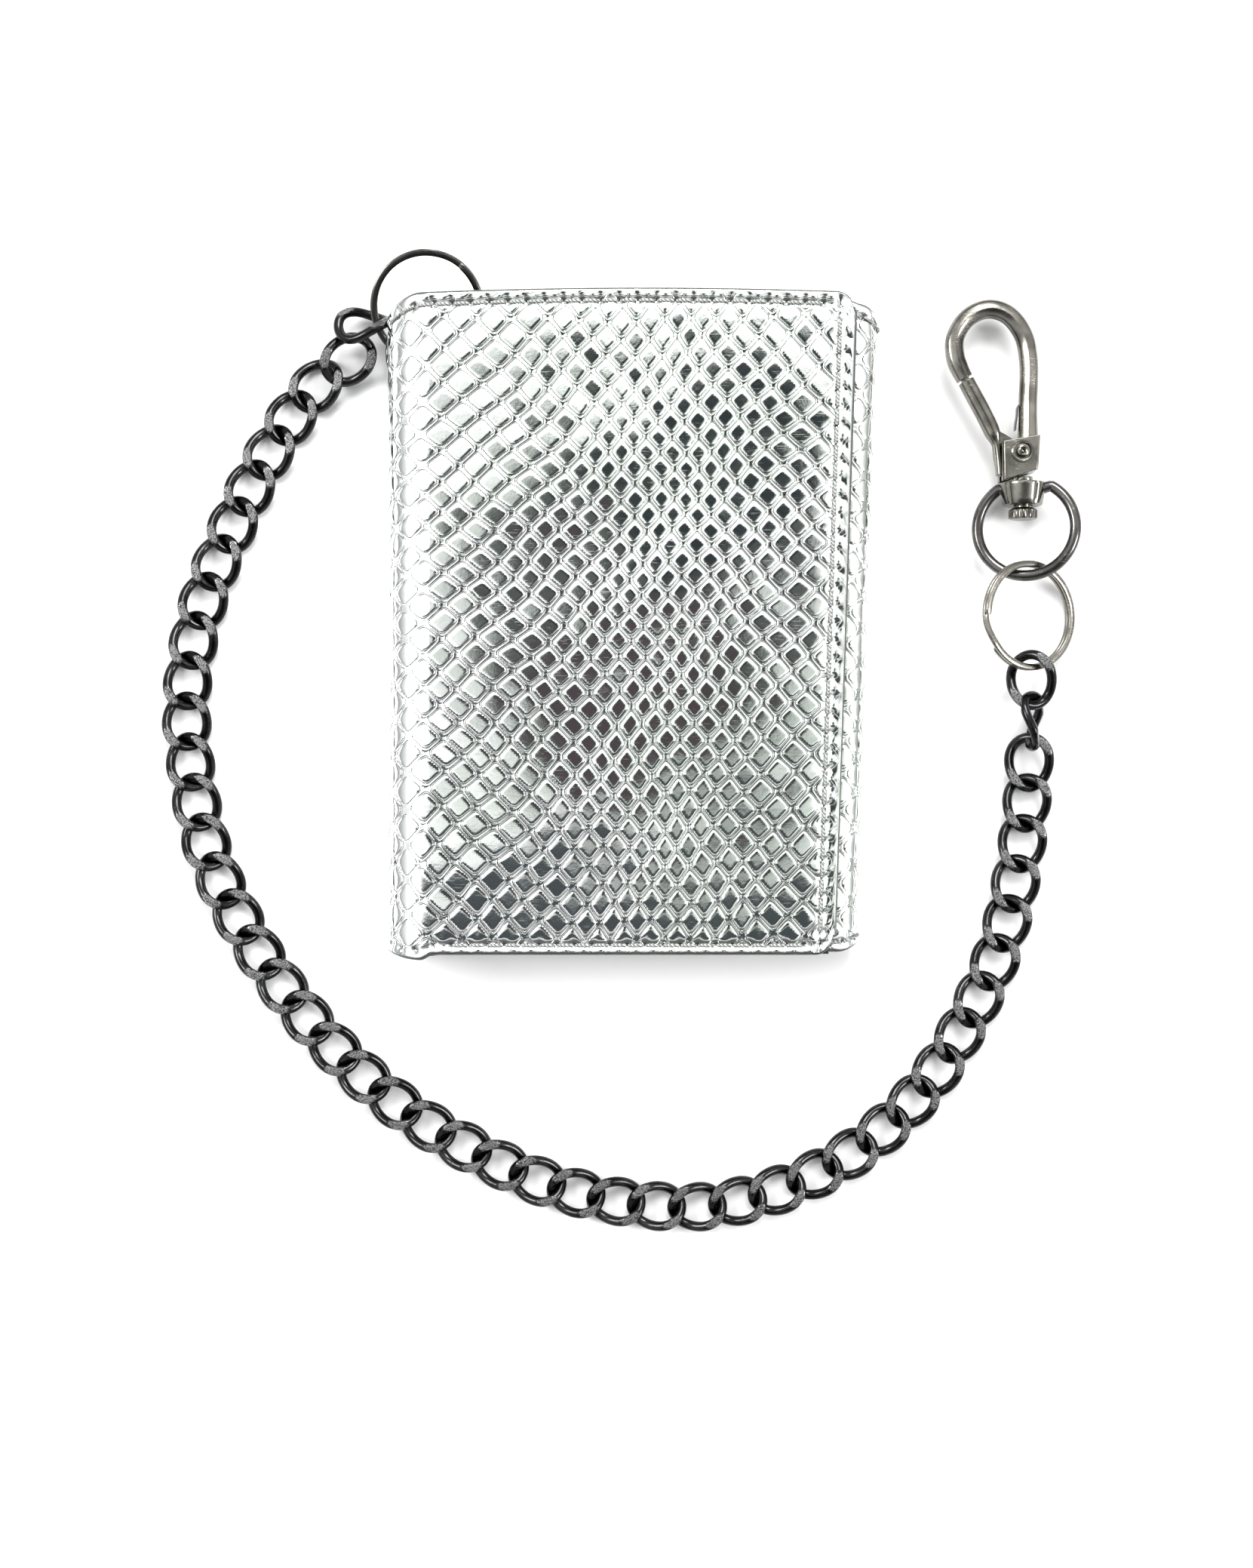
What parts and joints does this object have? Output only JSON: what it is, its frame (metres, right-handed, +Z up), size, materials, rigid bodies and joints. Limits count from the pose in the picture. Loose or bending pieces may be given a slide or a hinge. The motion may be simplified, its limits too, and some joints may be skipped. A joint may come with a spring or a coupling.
{
  "type": "chain wallet",
  "caption": "Trifold wallet in silver snake-embossed leather, with a curb chain, split rings and a swivel snap hook.",
  "frame": {"origin": "centre of the back panel's flat underside", "axes": "+X towards the open right side, +Y towards the top edge, +Z up through the closed wallet"},
  "size_m": [0.1623, 0.1727, 0.0146],
  "materials": {
    "silver_skin": "metallic mirror-silver coated leather, embossed with snake scales",
    "black_liner": "fine-grained black lining",
    "nickel_rings": "polished light nickel wire",
    "gunmetal_chain": "black nickel with ground facets",
    "nickel_clasp": "worn warm nickel plate on a die casting"
  },
  "bodies": {
    "wallet_back": {"back_cover": "silver_skin", "bill_divider": "black_liner", "centre_card_slot_1": "black_liner", "centre_card_slot_2": "black_liner", "centre_card_slot_3": "black_liner", "left_fold": "silver_skin", "right_fold": "silver_skin", "eyelet": "nickel_rings", "eyelet_washer": "nickel_rings"},
    "front_flap": {"front_cover": "silver_skin", "front_lining": "black_liner", "front_card_slot_1": "black_liner", "front_card_slot_2": "black_liner", "front_card_slot_3": "black_liner"},
    "inner_flap": {"inner_cover": "silver_skin", "inner_lining": "black_liner", "inner_card_slot_1": "black_liner", "inner_card_slot_2": "black_liner"},
    "wallet_ring": {"wallet_split_ring": "nickel_rings"},
    "chain_01": {"chain_run_01": "gunmetal_chain"},
    "chain_02": {"chain_run_02": "gunmetal_chain"},
    "chain_03": {"chain_run_03": "gunmetal_chain"},
    "chain_04": {"chain_run_04": "gunmetal_chain"},
    "chain_05": {"chain_run_05": "gunmetal_chain"},
    "chain_06": {"chain_run_06": "gunmetal_chain"},
    "chain_07": {"chain_run_07": "gunmetal_chain"},
    "chain_08": {"chain_run_08": "gunmetal_chain"},
    "chain_09": {"chain_run_09": "gunmetal_chain"},
    "chain_10": {"chain_run_10": "gunmetal_chain"},
    "chain_11": {"chain_run_11": "gunmetal_chain"},
    "chain_12": {"chain_run_12": "gunmetal_chain"},
    "end_ring": {"end_split_ring": "nickel_rings"},
    "bail": {"swivel_ring": "gunmetal_chain"},
    "collar": {"swivel_collar": "nickel_clasp"},
    "snap_hook": {"hook_body": "nickel_clasp", "swivel_post": "nickel_clasp", "gate_rivet": "nickel_clasp", "gate_spring": "nickel_clasp"},
    "hook_gate": {"gate": "nickel_clasp"}
  },
  "joints": [
    {"name": "front_flap_hinge", "type": "hinge", "parent": "wallet_back", "child": "front_flap", "pos_m": [-0.0455, 0, 0.0073], "axis": [0, -1, 0], "range_deg": [0, 150], "deforming": ["left_fold"]},
    {"name": "inner_flap_hinge", "type": "hinge", "parent": "wallet_back", "child": "inner_flap", "pos_m": [0.0431, 0, 0.0042], "axis": [0.034, 0.9994, 0], "range_deg": [0, 50], "deforming": ["right_fold"]},
    {"name": "wallet_ring_turn", "type": "hinge", "parent": "wallet_back", "child": "wallet_ring", "pos_m": [-0.036, 0.0564, 0.00606], "axis": [0, -0.3256, 0.9455], "range_deg": [-8, 8]},
    {"name": "chain_bend_01", "type": "hinge", "parent": "wallet_ring", "child": "chain_01", "pos_m": [-0.0446, 0.0538, 0.0046], "axis": [0, 0, 1], "range_deg": [-6, 0]},
    {"name": "chain_bend_02", "type": "hinge", "parent": "chain_01", "child": "chain_02", "pos_m": [-0.06256, 0.03478, 0.00185], "axis": [0, 0, 1], "range_deg": [-6, 0]},
    {"name": "chain_bend_03", "type": "hinge", "parent": "chain_02", "child": "chain_03", "pos_m": [-0.075, 0.0087, 0.00185], "axis": [0, 0, 1], "range_deg": [-6, 0]},
    {"name": "chain_bend_04", "type": "hinge", "parent": "chain_03", "child": "chain_04", "pos_m": [-0.07891, -0.01973, 0.00185], "axis": [0, 0, 1], "range_deg": [-6, 0]},
    {"name": "chain_bend_05", "type": "hinge", "parent": "chain_04", "child": "chain_05", "pos_m": [-0.07179, -0.04759, 0.00185], "axis": [0, 0, 1], "range_deg": [-6, 0]},
    {"name": "chain_bend_06", "type": "hinge", "parent": "chain_05", "child": "chain_06", "pos_m": [-0.05552, -0.07142, 0.00185], "axis": [0, 0, 1], "range_deg": [-6, 0]},
    {"name": "chain_bend_07", "type": "hinge", "parent": "chain_06", "child": "chain_07", "pos_m": [-0.03326, -0.08973, 0.00185], "axis": [0, 0, 1], "range_deg": [-6, 0]},
    {"name": "chain_bend_08", "type": "hinge", "parent": "chain_07", "child": "chain_08", "pos_m": [-0.00657, -0.1006, 0.00185], "axis": [0, 0, 1], "range_deg": [-6, 0]},
    {"name": "chain_bend_09", "type": "hinge", "parent": "chain_08", "child": "chain_09", "pos_m": [0.02206, -0.10055, 0.00185], "axis": [0, 0, 1], "range_deg": [-6, 0]},
    {"name": "chain_bend_10", "type": "hinge", "parent": "chain_09", "child": "chain_10", "pos_m": [0.04698, -0.08647, 0.00185], "axis": [0, 0, 1], "range_deg": [-6, 0]},
    {"name": "chain_bend_11", "type": "hinge", "parent": "chain_10", "child": "chain_11", "pos_m": [0.06285, -0.06251, 0.00185], "axis": [0, 0, 1], "range_deg": [-6, 0]},
    {"name": "chain_bend_12", "type": "hinge", "parent": "chain_11", "child": "chain_12", "pos_m": [0.06969, -0.03449, 0.00185], "axis": [0, 0, 1], "range_deg": [-6, 0]},
    {"name": "end_ring_lift", "type": "hinge", "parent": "chain_12", "child": "end_ring", "pos_m": [0.0699, -0.0067, 0.005], "axis": [0.8942, 0, -0.4478], "range_deg": [0, 35]},
    {"name": "bail_lift", "type": "hinge", "parent": "end_ring", "child": "bail", "pos_m": [0.0696, 0.0094, 0.0051], "axis": [0.9703, 0, 0.2419], "range_deg": [0, 30]},
    {"name": "collar_tip", "type": "hinge", "parent": "bail", "child": "collar", "pos_m": [0.069, 0.024, 0.004], "axis": [0.9703, 0, 0.2419], "range_deg": [-20, 25]},
    {"name": "hook_swivel", "type": "hinge", "parent": "collar", "child": "snap_hook", "pos_m": [0.069, 0.024, 0.004], "axis": [0, 1, 0], "continuous": true},
    {"name": "gate_hinge", "type": "hinge", "parent": "snap_hook", "child": "hook_gate", "pos_m": [0.0684, 0.0311, 0.004], "axis": [0, 0, 1], "range_deg": [-20, 0], "stiffness_Nm_per_rad": 0.01, "springref_deg": 17.19, "deforming": ["gate_spring"]}
  ],
  "couplings": [
    {"joint": "inner_flap_hinge", "follows": "front_flap_hinge", "ratio": 0.33},
    {"joint": "chain_bend_02", "follows": "chain_bend_01", "ratio": 1},
    {"joint": "chain_bend_03", "follows": "chain_bend_01", "ratio": 1},
    {"joint": "chain_bend_04", "follows": "chain_bend_01", "ratio": 1},
    {"joint": "chain_bend_05", "follows": "chain_bend_01", "ratio": 1},
    {"joint": "chain_bend_06", "follows": "chain_bend_01", "ratio": 1},
    {"joint": "chain_bend_07", "follows": "chain_bend_01", "ratio": 1},
    {"joint": "chain_bend_08", "follows": "chain_bend_01", "ratio": 1},
    {"joint": "chain_bend_09", "follows": "chain_bend_01", "ratio": 1},
    {"joint": "chain_bend_10", "follows": "chain_bend_01", "ratio": 1},
    {"joint": "chain_bend_11", "follows": "chain_bend_01", "ratio": 1},
    {"joint": "chain_bend_12", "follows": "chain_bend_01", "ratio": 1}
  ]
}
